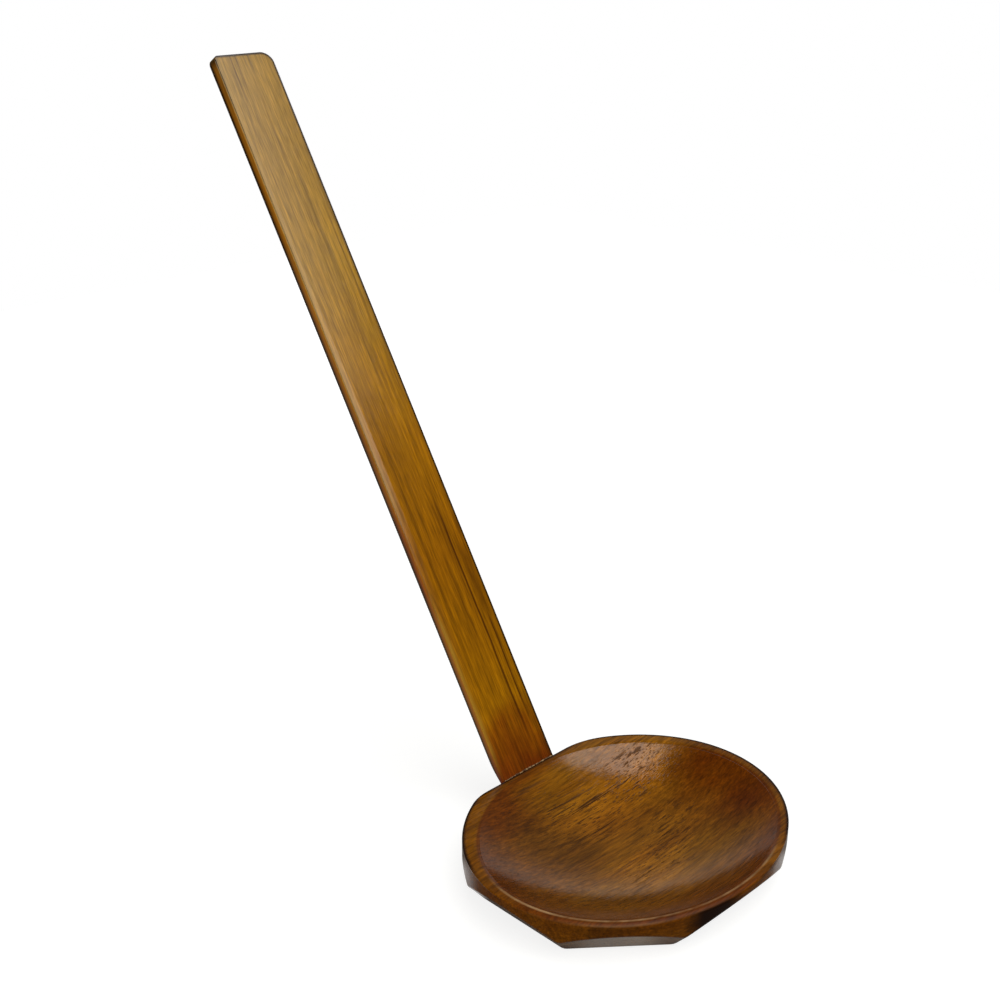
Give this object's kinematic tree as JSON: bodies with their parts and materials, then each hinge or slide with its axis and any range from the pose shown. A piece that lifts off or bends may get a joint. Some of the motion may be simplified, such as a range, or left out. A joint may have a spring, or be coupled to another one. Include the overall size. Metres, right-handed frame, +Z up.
{
  "type": "ramen spoon",
  "caption": "Wooden ramen spoon with a wide, shallow oval bowl, a faceted underside and a long flat handle glued at a slant to the back of the bowl, for ladling and sipping soup.",
  "frame": {"origin": "on the flat base, under the centre of the bowl's oval rim", "axes": "+X forward, away from the handle; +Y across the bowl, the mirror direction; +Z up from the base"},
  "size_m": [0.1526, 0.0734, 0.1545],
  "materials": {
    "bowl_wood": "dark brown open-pored wood under a satin clear lacquer",
    "handle_wood": "golden brown straight-grained wood under a satin clear lacquer",
    "dried_glue": "thin film of dried wood glue"
  },
  "bodies": {
    "root": {"bowl": "bowl_wood", "handle": "handle_wood", "glue_film": "dried_glue"}
  },
  "joints": []
}
